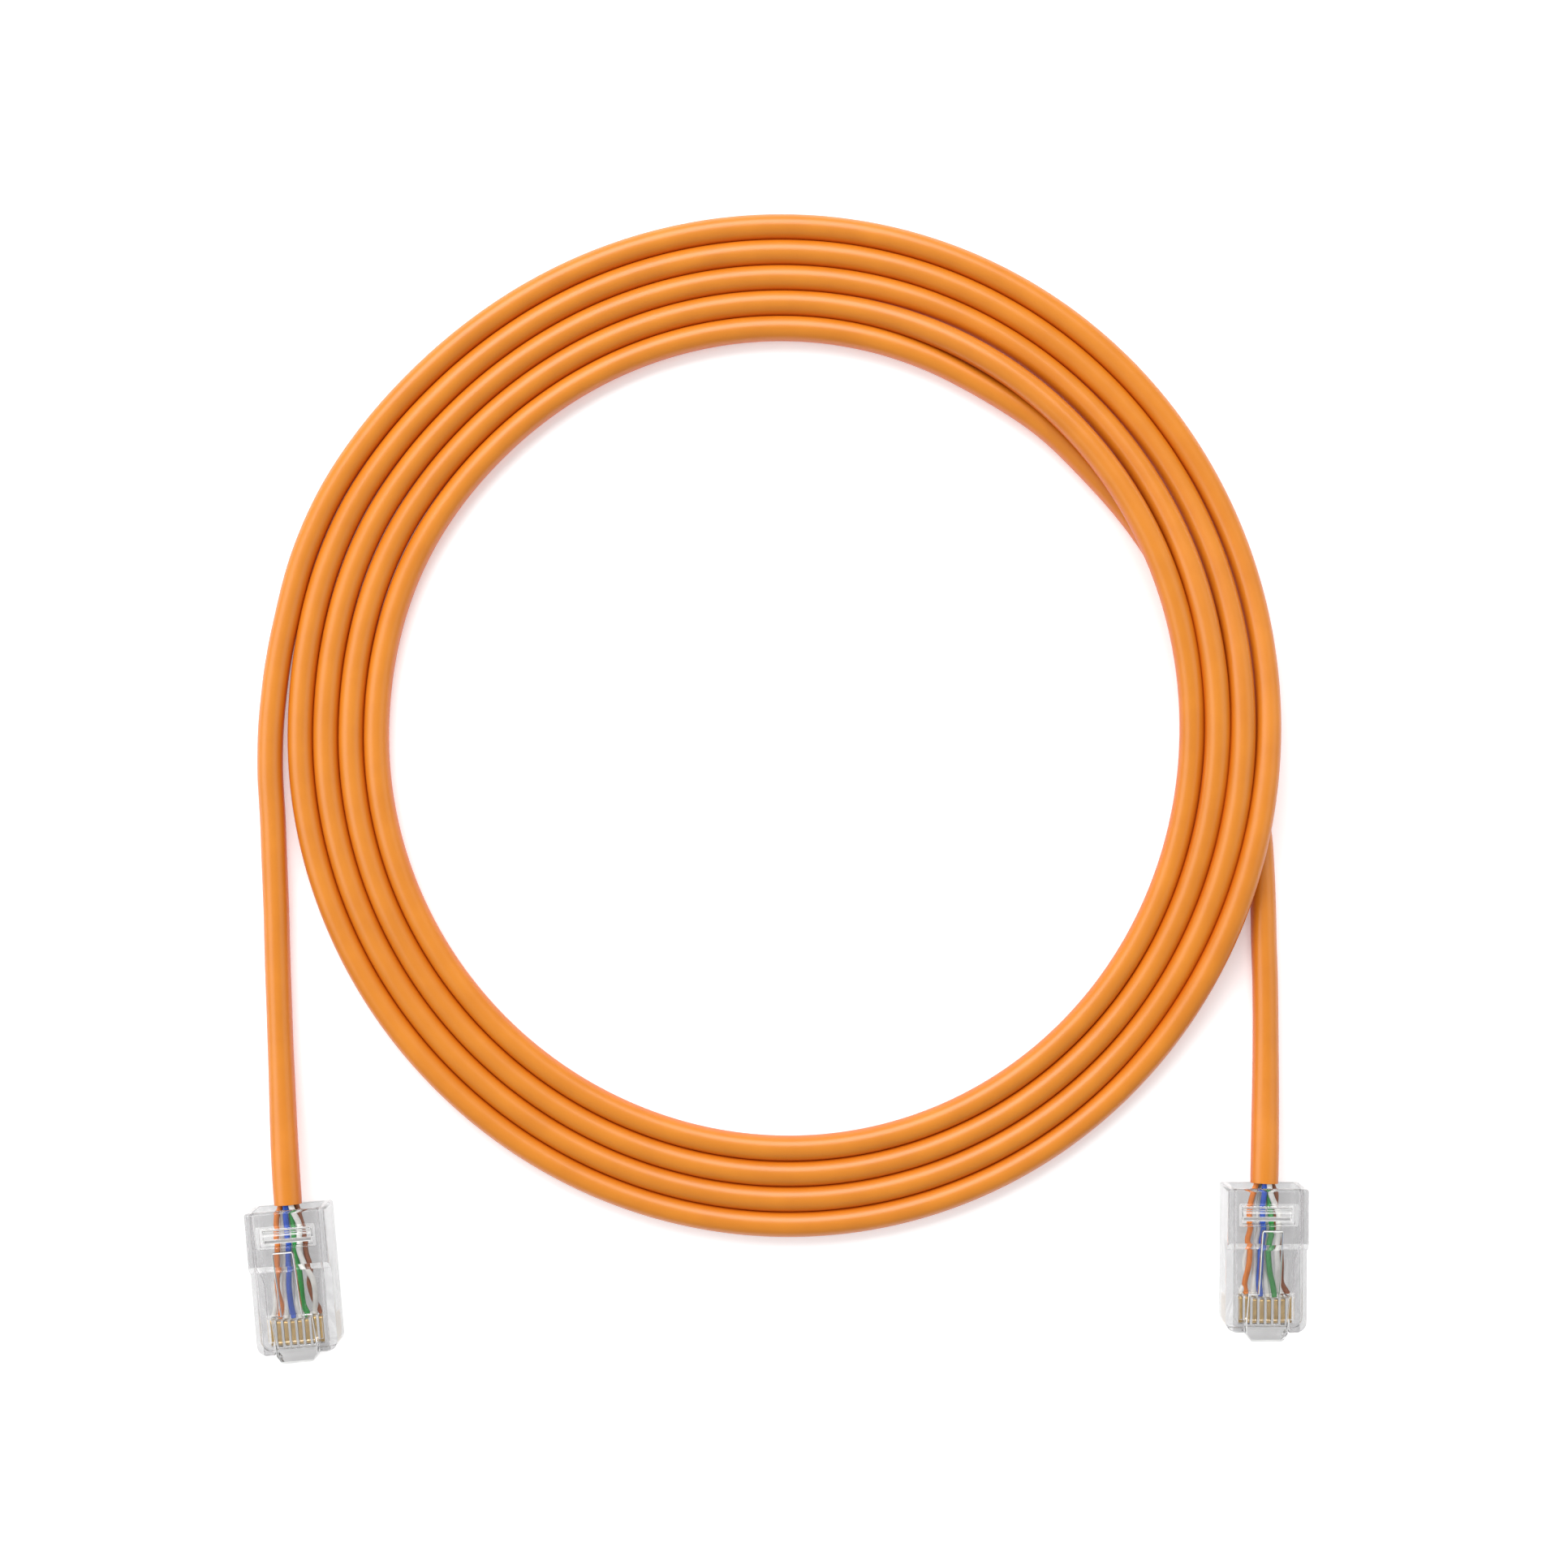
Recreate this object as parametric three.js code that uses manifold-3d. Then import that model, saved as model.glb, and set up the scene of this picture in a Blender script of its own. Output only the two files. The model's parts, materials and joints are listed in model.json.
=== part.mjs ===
// Copper Ethernet patch cord: a 2 m slim orange cord wound into a flat coil, with a clear
// 8-position modular plug on each end. Millimetres, +Z up, z = 0 is the surface it lies on.
// The plugs lie contacts down and latch up, nose towards -Y; the coil lies beyond their rear.
import * as THREE from 'three';
import { mergeVertices } from 'three/addons/utils/BufferGeometryUtils.js';
import Module from 'manifold-3d';

const wasm = await Module();
wasm.setup();

// ---- driving dimensions ----------------------------------------------------------------
const GAP = 0.3; // left between faces that touch on the real cord

const CORD_D = 3.65;
const PITCH = 3.7; // turn to turn in the coil
const COIL_CENTRE = [0.48, 78.53];
const COIL_R = 73.1; // outermost turn's centre line, at the far side of the coil (+Y)
const OVAL = 0.6; // the coil is this much taller than wide, on the radius
const EGG = 0.26; // and a little egg-shaped
const COIL_TURNS = 4; // whole turns; a fifth strand lies inside them round the far side
const JOIN_ANGLE = 172; // degrees, where cord end A meets the coil
const LEAVE_ANGLE = -23; // where cord end B comes out from under it
const DIVE_FROM = 64; // the innermost strand starts to pass under the others here
const DIVE_TO = 24; // and from here on it lies beneath them
const HUMP = [62, -24]; // the turns ride over the buried strand between these angles
const HUMP_RISE = 32; // degrees over which they climb
const HUMP_FALL = 22; // and come down again
const FREE_FROM = -6; // the buried strand's side starts to show outside the outermost turn
const COIL_EDGE = 1.1; // 45 degree edges stand for the strands' roundness

const PLUG_W = 11.68;
const BODY_L = 20.9; // rear face to front shoulders
const NOSE_L = 1.25;
const NOSE_W = [6.8, 4.6]; // at its root and at its tip
const REAR_H = 7.8;
const FRONT_H = 6.6;
const STEP_Y = 7.8; // from the rear face to the step in the top
const SIDE_BEVEL = 0.35;
const FRONT_CORNER = 1.5;
const REAR_CORNER = 0.4;
const CABLE_Z = 4.0; // cord centre line above the contact face

const CAVITY_W = [9.7, 8.6]; // at the rear opening and at the wire guide
const CAVITY_Z = [[1.0, 6.8], [1.75, 4.7]];
const FUNNEL_Y = [7.4, 10.9];
const CAVITY_END = 15.8;
const WINDOW = { width: 8.2, from: 2.3, to: 5.05 };
const BAR_Z = [5.45, 7.2];

const PIN_PITCH = 1.016;
const PINS = 8;
const BLADE = { thick: 0.4, from: 16.05, to: 19.75, low: 0.35, high: 4.3 };
const SLOT_GAP = 0.12;
const WIRE_D = 0.82;
const WIRE_END = 15.7;
const WIRE_Z = 3.1; // wire row above the contact face
const WIRE_LAYER = 0.42; // odd and even wires lie this far above and below the row
const WIRE_DIP = 0.35; // the bundle sags this much behind the cord's cut end
const BUNDLE_R = 1.0; // seven wires round one at the cord's cut end

const LATCH_T = 1.15;
const LATCH_W = { root: 6.0, tab: 3.0 };
const LATCH_END = 5.4; // free end, from the rear face
const LATCH_TOP = 11.3;
const LATCH_RISE = 20.0; // the strip lies flat on the nose up to here, then rises to the rear
const SHOULDER_Y = 15.0; // catch shoulders
const SHOULDER_Z = 7.45; // underside of the strip at the shoulders
const HINGE = { y: 20.6, z: 5.6 };
const RAMP = { from: 14.6, to: 19.0, z: 5.4 }; // top of the body slopes down under the latch

// Each plug: the middle of its rear face on the surface, and its turn about Z in degrees.
const PLUG_A = { at: [-70.85, 9.56], turn: 4.9 };
const PLUG_B = { at: [70.8, 12.66], turn: -0.3 };

// Cord ends where they are not coiled, centre line, from the coil to the plug.
const END_A = [
  [-72.8, 88.25, 1.83], [-73.35, 84.0, 1.83], [-73.9, 79.3, 1.83], [-73.85, 72.7, 1.83],
  [-73.54, 66.2, 1.83], [-73.27, 59.2, 1.83], [-73.0, 52.3, 1.83], [-72.83, 45.6, 1.83],
  [-72.62, 39.5, 1.83], [-72.4, 33.5, 1.9], [-72.1, 27.5, 2.25], [-71.72, 21.0, 2.95],
  [-71.3, 15.4, 3.7], [-70.88, 9.9, 4.0],
];
const END_B = [
  [71.15, 47.7, 1.83], [71.3, 43.4, 1.83], [71.38, 38.0, 1.83], [71.4, 32.6, 1.85],
  [71.33, 27.2, 2.15], [71.15, 21.8, 2.85], [70.95, 17.2, 3.65], [70.8, 12.98, 4.0],
];

// ---- materials --------------------------------------------------------------------------
const look = (color, roughness, metalness = 0, extra = {}) =>
  new THREE.MeshStandardMaterial({ color, roughness, metalness, ...extra });
const MATERIAL = {
  jacket: look(0xee9632, 0.45),
  clear: look(0xdfe4e6, 0.12, 0, { transparent: true, opacity: 0.45 }),
  gold: look(0xc09a50, 0.3, 1),
  white: look(0xe9e7df, 0.5),
  orange: look(0xdb5a12, 0.5),
  green: look(0x12783a, 0.5),
  blue: look(0x1f3fae, 0.5),
  brown: look(0x6a2c14, 0.5),
};
// Pins 1 to 8, orange pair first: the wires with a striped partner colour are white here.
const PIN_COLOUR = ['white', 'orange', 'white', 'blue', 'white', 'green', 'white', 'brown'];

// ---- solids -----------------------------------------------------------------------------
// A closed geometry with only positions, shared corners merged.
function closed(geometry) {
  const bare = geometry.index ? geometry : geometry.clone();
  bare.deleteAttribute('normal');
  bare.deleteAttribute('uv');
  return mergeVertices(bare, 1e-4);
}

function toSolid(geometry) {
  const g = closed(geometry);
  const vertProperties = new Float32Array(g.attributes.position.array);
  const triVerts = new Uint32Array(g.index.array);
  return new wasm.Manifold(new wasm.Mesh({ numProp: 3, vertProperties, triVerts }));
}

function toGeometry(solid) {
  const { vertProperties, triVerts, numProp } = solid.getMesh();
  const g = new THREE.BufferGeometry();
  const xyz = new Float32Array((vertProperties.length / numProp) * 3);
  for (let i = 0; i < xyz.length / 3; i++) {
    for (let k = 0; k < 3; k++) xyz[3 * i + k] = vertProperties[numProp * i + k];
  }
  g.setAttribute('position', new THREE.BufferAttribute(xyz, 3));
  g.setIndex(new THREE.BufferAttribute(new Uint32Array(triVerts), 1));
  return g;
}

// A box given by its lowest and highest corners.
function box(low, high) {
  const size = low.map((v, i) => high[i] - v);
  const g = new THREE.BoxGeometry(...size);
  return g.translate(...low.map((v, i) => v + size[i] / 2));
}

// Rings of equal point counts joined into a skin; closed on itself, or capped at both ends.
function skin(rings, loop) {
  const n = rings[0].length;
  const position = rings.flat(2);
  const index = [];
  const quad = (a, b, c, d) => index.push(a, b, c, a, c, d);
  const last = loop ? rings.length : rings.length - 1;
  for (let i = 0; i < last; i++) {
    const j = (i + 1) % rings.length;
    for (let k = 0; k < n; k++) {
      const m = (k + 1) % n;
      quad(i * n + k, i * n + m, j * n + m, j * n + k);
    }
  }
  if (!loop) {
    const end = (rings.length - 1) * n;
    for (let k = 1; k < n - 1; k++) {
      index.push(0, k + 1, k);
      index.push(end, end + k, end + k + 1);
    }
  }
  const g = new THREE.BufferGeometry();
  g.setAttribute('position', new THREE.Float32BufferAttribute(position, 3));
  g.setIndex(index);
  return g;
}

// A round bar along a smooth curve through the points.
function bar(points, diameter, sides, steps) {
  const curve = new THREE.CatmullRomCurve3(points.map((p) => new THREE.Vector3(...p)));
  const section = new THREE.Shape();
  for (let i = 0; i < sides; i++) {
    const a = (2 * Math.PI * (i + 0.5)) / sides;
    const x = (diameter / 2) * Math.cos(a);
    const y = (diameter / 2) * Math.sin(a);
    if (i === 0) section.moveTo(x, y);
    else section.lineTo(x, y);
  }
  section.closePath();
  return new THREE.ExtrudeGeometry(section, { steps, bevelEnabled: false, extrudePath: curve });
}

// A polygon of [along, up] points in a plug's side view, spread over a width in x.
function sidePlate(outline, width, bevel = 0) {
  const shape = new THREE.Shape(outline.map(([along, up]) => new THREE.Vector2(-along, up)));
  const g = new THREE.ExtrudeGeometry(shape, {
    depth: width - 2 * bevel,
    bevelEnabled: bevel > 0,
    bevelThickness: bevel,
    bevelSize: bevel,
    bevelOffset: -bevel,
    bevelSegments: 2,
  });
  g.translate(0, 0, -width / 2 + bevel);
  // Shape x is the plug's +Y, shape y is up, depth is across.
  const turn = new THREE.Matrix4().set(0, 0, 1, 0, 1, 0, 0, 0, 0, 1, 0, 0, 0, 0, 0, 1);
  return g.applyMatrix4(turn);
}

// A polygon of [across, along] points in a plug's top view, between two heights.
function topPlate(outline, low, high) {
  const shape = new THREE.Shape(outline.map(([across, along]) => new THREE.Vector2(across, -along)));
  const g = new THREE.ExtrudeGeometry(shape, { depth: high - low, bevelEnabled: false });
  return g.translate(0, 0, low);
}

// ---- plug -------------------------------------------------------------------------------
function arc(cx, cy, r, from, to, count = 4) {
  return Array.from({ length: count + 1 }, (_, i) => {
    const a = ((from + ((to - from) * i) / count) * Math.PI) / 180;
    return [cx + r * Math.cos(a), cy + r * Math.sin(a)];
  });
}

// The body seen from above: small rear corners, large front corners.
function bodyPlan() {
  const w = PLUG_W / 2;
  const f = FRONT_CORNER;
  const r = REAR_CORNER;
  return [
    ...arc(w - r, r, r, -90, 0, 2),
    ...arc(w - f, BODY_L - f, f, 0, 90),
    ...arc(-w + f, BODY_L - f, f, 90, 180),
    ...arc(-w + r, r, r, 180, 270, 2),
  ];
}

// The nose seen from above, between two distances from the rear face.
function nosePlan(from, to) {
  const [root, tip] = NOSE_W.map((v) => v / 2);
  const bend = BODY_L + 0.35 * NOSE_L;
  return [
    [-root, from], [root, from], [root - 0.25, BODY_L + 0.1], [root - 0.6, bend],
    [tip + 0.15, to - 0.25], [tip - 0.3, to],
    [-tip + 0.3, to], [-tip - 0.15, to - 0.25],
    [-root + 0.6, bend], [-root + 0.25, BODY_L + 0.1],
  ];
}

function cavity() {
  const ring = (along, width, [low, high]) => [
    [-width / 2, -along, low], [width / 2, -along, low],
    [width / 2, -along, high], [-width / 2, -along, high],
  ];
  return skin([
    ring(-1, CAVITY_W[0], CAVITY_Z[0]),
    ring(FUNNEL_Y[0], CAVITY_W[0], CAVITY_Z[0]),
    ring(FUNNEL_Y[1], CAVITY_W[1], CAVITY_Z[1]),
    ring(CAVITY_END, CAVITY_W[1], CAVITY_Z[1]),
  ], false);
}

function pinX(pin) {
  return (pin - (PINS - 1) / 2) * PIN_PITCH;
}

function housing() {
  const profile = [
    [0, 0], [BODY_L, 0], [BODY_L, FRONT_H - 0.4], [BODY_L - 0.4, FRONT_H],
    [STEP_Y + 1, FRONT_H], [STEP_Y, REAR_H], [0.5, REAR_H], [0, REAR_H - 0.5],
  ];
  const side = toSolid(sidePlate(profile, PLUG_W, SIDE_BEVEL));
  let solid = side.intersect(toSolid(topPlate(bodyPlan(), -1, REAR_H + 1)));
  const nose = toSolid(topPlate(nosePlan(BODY_L - 1, BODY_L + NOSE_L), 2.6, RAMP.z));
  solid = solid.add(nose);
  const ramp = [
    [RAMP.from, FRONT_H], [RAMP.to, RAMP.z], [BODY_L + 2, RAMP.z], [BODY_L + 2, FRONT_H + 1],
    [RAMP.from, FRONT_H + 1],
  ];
  solid = solid.subtract(toSolid(sidePlate(ramp, NOSE_W[0])));
  solid = solid.subtract(toSolid(cavity()));
  const half = WINDOW.width / 2;
  solid = solid.subtract(
    toSolid(box([-half, -WINDOW.to, CAVITY_Z[0][1] - 1], [half, -WINDOW.from, REAR_H + 1])),
  );
  for (let pin = 0; pin < PINS; pin++) {
    const reach = BLADE.thick / 2 + SLOT_GAP;
    const slot = box(
      [pinX(pin) - reach, -BLADE.to - SLOT_GAP, -1],
      [pinX(pin) + reach, -CAVITY_END + 0.1, BLADE.high + SLOT_GAP],
    );
    solid = solid.subtract(toSolid(slot));
  }
  return toGeometry(solid);
}

function latchProfile() {
  const low = RAMP.z + GAP;
  const end = LATCH_TOP - LATCH_T;
  const tip = BODY_L + NOSE_L;
  return [
    [tip, low], [LATCH_RISE, low], [SHOULDER_Y, SHOULDER_Z], [LATCH_END + 0.2, end],
    [LATCH_END, end + 0.4], [LATCH_END, LATCH_TOP - 0.35], [LATCH_END + 0.35, LATCH_TOP],
    [SHOULDER_Y, SHOULDER_Z + LATCH_T], [LATCH_RISE + 0.3, low + LATCH_T],
    [tip - 0.4, low + LATCH_T], [tip, low + LATCH_T - 0.4],
  ];
}

function latch() {
  const tab = LATCH_W.tab / 2;
  const root = LATCH_W.root / 2;
  const plan = [
    [-tab + 0.3, LATCH_END - 0.5], [tab - 0.3, LATCH_END - 0.5], [tab, LATCH_END + 0.3],
    [tab, SHOULDER_Y], [root, SHOULDER_Y + 0.3], [root, BODY_L],
    [NOSE_W[1] / 2 + 0.15, BODY_L + NOSE_L - 0.25], [NOSE_W[1] / 2 - 0.3, BODY_L + NOSE_L + 0.1],
    [-NOSE_W[1] / 2 + 0.3, BODY_L + NOSE_L + 0.1], [-NOSE_W[1] / 2 - 0.15, BODY_L + NOSE_L - 0.25],
    [-root, BODY_L], [-root, SHOULDER_Y + 0.3], [-tab, SHOULDER_Y], [-tab, LATCH_END + 0.3],
  ];
  const side = toSolid(sidePlate(latchProfile(), LATCH_W.root + 1));
  return toGeometry(side.intersect(toSolid(topPlate(plan, 0, LATCH_TOP + 1))));
}

// The bar pressed down on the wires through the window in the housing's top.
function clampBar() {
  const from = WINDOW.from + GAP;
  const to = WINDOW.to - GAP;
  const [low, high] = BAR_Z;
  const profile = [
    [from, high], [from, low + 0.5], [from + 0.5, low], [to - 0.3, low], [to, low + 0.3],
    [to, high - 0.5], [to - 0.6, high - 0.5], [to - 0.6, high],
  ];
  return sidePlate(profile, WINDOW.width - 2 * GAP);
}

// A contact blade: flat plate on edge, two tines on top, rounded nose corner at the bottom.
function blade() {
  const { from, to, low, high, thick } = BLADE;
  const third = (to - from) / 3;
  const notch = 0.8;
  const profile = [
    [from, low + 0.9], [from + 0.5, low], [to - 0.6, low], [to, low + 0.6], [to, high - 0.25],
    [to - 0.3, high], [from + 2 * third, high], [from + 1.75 * third, high - notch],
    [from + 1.25 * third, high - notch], [from + third, high], [from + 0.3, high],
    [from, high - 0.25],
  ];
  return sidePlate(profile, thick);
}

// Where each wire starts in the bundle of seven round one, in pin order from left to right.
function bundleSpots() {
  const ring = [180, 128.6, -128.6, null, 77.1, -77.1, 25.7, -25.7];
  return ring.map((a) => {
    if (a === null) return [0, 0];
    const rad = (a * Math.PI) / 180;
    return [BUNDLE_R * Math.cos(rad), BUNDLE_R * Math.sin(rad)];
  });
}

// One wire from the cord's cut end to its blade, spreading from the bundle to the row.
function wirePoints(pin) {
  const [x0, z0] = bundleSpots()[pin];
  const layer = WIRE_LAYER * Math.sign(Math.round(10 * z0));
  const along = [0, 1.2, 3, 5.2, 7.4, 9.6, 11.6, 13.2, 14.4, WIRE_END];
  return along.map((d) => {
    const s = THREE.MathUtils.smoothstep(d, 1.5, 12.8);
    const flat = THREE.MathUtils.smoothstep(d, 11.5, 15.2);
    const x = (1 - s) * x0 + s * pinX(pin);
    const z = (1 - s) * (CABLE_Z + z0) + s * (WIRE_Z + layer * (1 - flat));
    const dip = WIRE_DIP * THREE.MathUtils.smoothstep(d, 1, 3) * (1 - s);
    return [x, -d, z - dip];
  });
}

function plug(letter, { at, turn }) {
  const group = new THREE.Group();
  const add = (name, geometry, material) => {
    const mesh = new THREE.Mesh(geometry, material);
    mesh.name = `plug_${letter}_${name}`;
    group.add(mesh);
    return mesh;
  };
  add('housing', housing(), MATERIAL.clear);
  add('latch', latch(), MATERIAL.clear);
  add('clamp_bar', clampBar(), MATERIAL.clear);
  for (let pin = 0; pin < PINS; pin++) {
    add(`contact_${pin + 1}`, blade(), MATERIAL.gold).position.x = pinX(pin);
    const wire = bar(wirePoints(pin), WIRE_D, 8, 18);
    add(`wire_${pin + 1}`, wire, MATERIAL[PIN_COLOUR[pin]]);
  }
  group.position.set(at[0], at[1], 0);
  group.rotation.z = (turn * Math.PI) / 180;
  return group;
}

// ---- cord -------------------------------------------------------------------------------
// Radius of the outermost turn's centre line at an angle that runs down from JOIN_ANGLE.
function turnRadius(angle) {
  const a = (angle * Math.PI) / 180;
  const wound = (90 - angle) / 360;
  return COIL_R - PITCH * wound - OVAL * Math.cos(2 * a) - EGG * Math.cos(3 * a);
}

// One solid for the whole coil: inner and outer reach and height at each angle.
function coil() {
  const half = CORD_D / 2;
  const soft = (a, from, to) => THREE.MathUtils.smoothstep(from - a, 0, from - to);
  const station = (angle) => {
    const radius = turnRadius(angle);
    const dived = soft(angle, DIVE_FROM, DIVE_TO);
    const inner = radius - PITCH * (COIL_TURNS - dived) - half;
    const free = soft(angle, FREE_FROM, LEAVE_ANGLE) * (angle >= LEAVE_ANGLE ? 1 : 0);
    const outer = radius + half + PITCH * 1.25 * free;
    const climb = soft(angle, HUMP[0], HUMP[0] - HUMP_RISE);
    const fall = soft(angle, HUMP[1] + HUMP_FALL, HUMP[1]);
    const height = CORD_D * (1 + 0.99 * climb * (1 - fall));
    return { angle, inner, outer, height };
  };
  const angles = [];
  const step = 4.5;
  for (let i = 0; i < 360 / step; i++) angles.push(JOIN_ANGLE - i * step);
  // The two flat faces that the cord's ends meet.
  const faces = [LEAVE_ANGLE, LEAVE_ANGLE - 0.05, JOIN_ANGLE - 360 + 0.05];
  const stations = [...angles, ...faces]
    .sort((a, b) => b - a)
    .filter((a, i, all) => i === 0 || all[i - 1] - a > 0.02)
    .map(station);
  const cut = COIL_EDGE;
  const rings = stations.map(({ angle, inner, outer, height }) => {
    const rad = (angle * Math.PI) / 180;
    const section = [
      [inner, cut], [inner + cut, 0], [outer - cut, 0], [outer, cut],
      [outer, height - cut], [outer - cut, height], [inner + cut, height], [inner, height - cut],
    ];
    return section.map(([r, z]) => [
      COIL_CENTRE[0] + r * Math.cos(rad),
      COIL_CENTRE[1] + r * Math.sin(rad),
      z,
    ]);
  });
  return skin(rings, true);
}

function cord() {
  const group = new THREE.Group();
  const add = (name, geometry) => {
    const mesh = new THREE.Mesh(geometry, MATERIAL.jacket);
    mesh.name = name;
    group.add(mesh);
  };
  add('cord_coil', coil());
  add('cord_end_a', bar(END_A, CORD_D, 8, 13));
  add('cord_end_b', bar(END_B, CORD_D, 8, 7));
  return group;
}

const patchCord = new THREE.Group();
patchCord.add(plug('a', PLUG_A), plug('b', PLUG_B), cord());
export default patchCord;
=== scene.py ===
"""Copper Ethernet patch cord: an orange 2 m cord in a flat coil, a clear modular plug on each end.

The plugs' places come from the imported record's mounts. A plug is built once, in its own frame in
millimetres: x across, y = 0 at the rear face with the nose towards -y, z up from the contact face.
"""
import json
import math

import bmesh
import bpy
import numpy as np
from mathutils import Matrix, Vector


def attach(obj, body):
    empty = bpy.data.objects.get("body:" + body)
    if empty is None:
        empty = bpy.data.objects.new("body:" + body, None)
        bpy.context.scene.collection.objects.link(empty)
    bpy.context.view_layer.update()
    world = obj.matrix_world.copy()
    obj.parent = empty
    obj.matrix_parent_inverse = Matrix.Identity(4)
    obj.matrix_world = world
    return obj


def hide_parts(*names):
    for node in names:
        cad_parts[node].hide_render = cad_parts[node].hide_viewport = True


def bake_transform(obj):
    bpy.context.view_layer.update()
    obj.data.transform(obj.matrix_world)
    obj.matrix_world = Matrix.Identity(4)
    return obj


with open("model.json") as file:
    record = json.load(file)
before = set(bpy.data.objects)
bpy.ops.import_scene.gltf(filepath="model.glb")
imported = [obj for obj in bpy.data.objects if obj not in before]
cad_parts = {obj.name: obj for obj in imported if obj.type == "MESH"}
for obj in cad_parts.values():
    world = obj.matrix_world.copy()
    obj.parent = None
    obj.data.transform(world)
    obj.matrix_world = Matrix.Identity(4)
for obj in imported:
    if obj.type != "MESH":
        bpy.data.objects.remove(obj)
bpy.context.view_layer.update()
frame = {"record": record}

MM = 0.001

# ---- dimensions, in millimetres ------------------------------------------------------------
CORD_D = 3.65
PITCH = 3.7
COIL_CENTRE = np.array([0.48, 78.53])
COIL_R = 73.1
OVAL = 0.6
EGG = 0.26
CABLE_Z = 4.0

# The cord where it is not coiled, centre line, from the coil to each plug.
END_A = [
    (-72.8, 88.25, 1.83), (-73.35, 84.0, 1.83), (-73.78, 79.3, 1.83), (-73.9, 72.7, 1.83),
    (-73.54, 66.2, 1.83), (-73.27, 59.2, 1.83), (-73.0, 52.3, 1.83), (-72.83, 45.6, 1.83),
    (-72.62, 39.5, 1.83), (-72.4, 33.5, 1.9), (-72.1, 27.5, 2.25), (-71.72, 21.0, 2.95),
    (-71.3, 15.4, 3.7), (-70.88, 9.9, 4.0),
]
END_B = [
    (71.15, 47.7, 1.83), (71.3, 43.4, 1.83), (71.38, 38.0, 1.83), (71.4, 32.6, 1.85),
    (71.33, 27.2, 2.15), (71.15, 21.8, 2.85), (70.95, 17.2, 3.65), (70.8, 12.98, 4.0),
]
# The innermost strand dives under the four others and comes out beside the outermost.
DIVE = [
    (38.4, 123.8), (45.8, 116.85), (52.56, 109.05), (58.33, 99.96), (63.19, 89.4),
    (66.98, 78.2), (69.23, 69.9), (70.41, 63.9), (70.85, 58.0), (71.05, 52.8),
]

LYING_Z = 1.83  # the centre line's height where the cord lies on the floor
STRAND_GAP = 0.04  # between the buried strand and a turn that rides over it
SPAN = 42.0  # a turn is back on the floor this far either side of the strand it rides over

PLUG_W = 11.68
BODY_L = 20.9
NOSE_L = 1.25
REAR_H = 7.8
FRONT_H = 6.6
STEP_Y = 7.8
CAVITY_END = 15.8
WINDOW = (8.2, 2.3, 5.05)
PINS = 8
PIN_PITCH = 1.016
WIRE_D = 0.82
WIRE_END = 15.75
WIRE_Z = 3.1
BLADE_HALF = 0.3
SLOT_HALF = 0.33
HINGE = (20.6, 5.6)
LATCH_END = 5.4
SHOULDER = (15.0, 7.45)
LATCH_TOP = 11.3
LATCH_T = 1.15


# ---- mesh helpers --------------------------------------------------------------------------
def new_object(name, vertices, faces, smooth=True):
    mesh = bpy.data.meshes.new(name)
    mesh.from_pydata([tuple(v) for v in vertices], [], faces)
    mesh.validate()
    obj = bpy.data.objects.new(name, mesh)
    bpy.context.scene.collection.objects.link(obj)
    if smooth:
        mesh.polygons.foreach_set("use_smooth", [True] * len(mesh.polygons))
    return obj


def loft(name, rings):
    """A closed skin through rings of equal point counts, with a cap at each end."""
    n = len(rings[0])
    vertices = [p for ring in rings for p in ring]
    faces = []
    for i in range(len(rings) - 1):
        for k in range(n):
            m = (k + 1) % n
            faces.append((i * n + k, i * n + m, (i + 1) * n + m, (i + 1) * n + k))
    faces.append(tuple(reversed(range(n))))
    faces.append(tuple(range((len(rings) - 1) * n, len(rings) * n)))
    obj = new_object(name, vertices, faces, smooth=False)
    fix_normals(obj)
    return obj


def fix_normals(obj):
    bm = bmesh.new()
    bm.from_mesh(obj.data)
    bmesh.ops.recalc_face_normals(bm, faces=bm.faces)
    bm.to_mesh(obj.data)
    bm.free()


def arc(cx, cy, r, start, end, count=6):
    angles = np.radians(np.linspace(start, end, count + 1))
    return [(cx + r * math.cos(a), cy + r * math.sin(a)) for a in angles]


def rounded_rect(half_w, y_rear, y_front, r_rear, r_front, inset=0.0):
    """A top-view outline; y runs from y_rear down to y_front, corners rounded, inset all round."""
    w = half_w - inset
    top = y_rear - inset
    low = y_front + inset
    rr = max(r_rear - inset, 0.03)
    rf = max(r_front - inset, 0.03)
    return (
        arc(w - rr, top - rr, rr, 0, 90) + arc(-w + rr, top - rr, rr, 90, 180)
        + arc(-w + rf, low + rf, rf, 180, 270) + arc(w - rf, low + rf, rf, 270, 360)
    )


def rounded_block(name, half_w, y_rear, y_front, low, high, r_rear, r_front, rim_low, rim_high):
    """A block with rounded upright corners and rounded rims."""
    rings = []
    for t in np.linspace(0, math.pi / 2, 4):
        inset = rim_low * (1 - math.sin(t))
        z = low + rim_low * (1 - math.cos(t))
        outline = rounded_rect(half_w, y_rear, y_front, r_rear, r_front, inset)
        rings.append([(x, y, z) for x, y in outline])
    for t in np.linspace(0, math.pi / 2, 4):
        inset = rim_high * (1 - math.cos(t))
        z = high - rim_high * (1 - math.sin(t))
        outline = rounded_rect(half_w, y_rear, y_front, r_rear, r_front, inset)
        rings.append([(x, y, z) for x, y in outline])
    return loft(name, rings)


def box(name, low, high):
    x0, y0, z0 = low
    x1, y1, z1 = high
    lower = [(x0, y0, z0), (x1, y0, z0), (x1, y1, z0), (x0, y1, z0)]
    return loft(name, [lower, [(x, y, z1) for x, y, _ in lower]])


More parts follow.
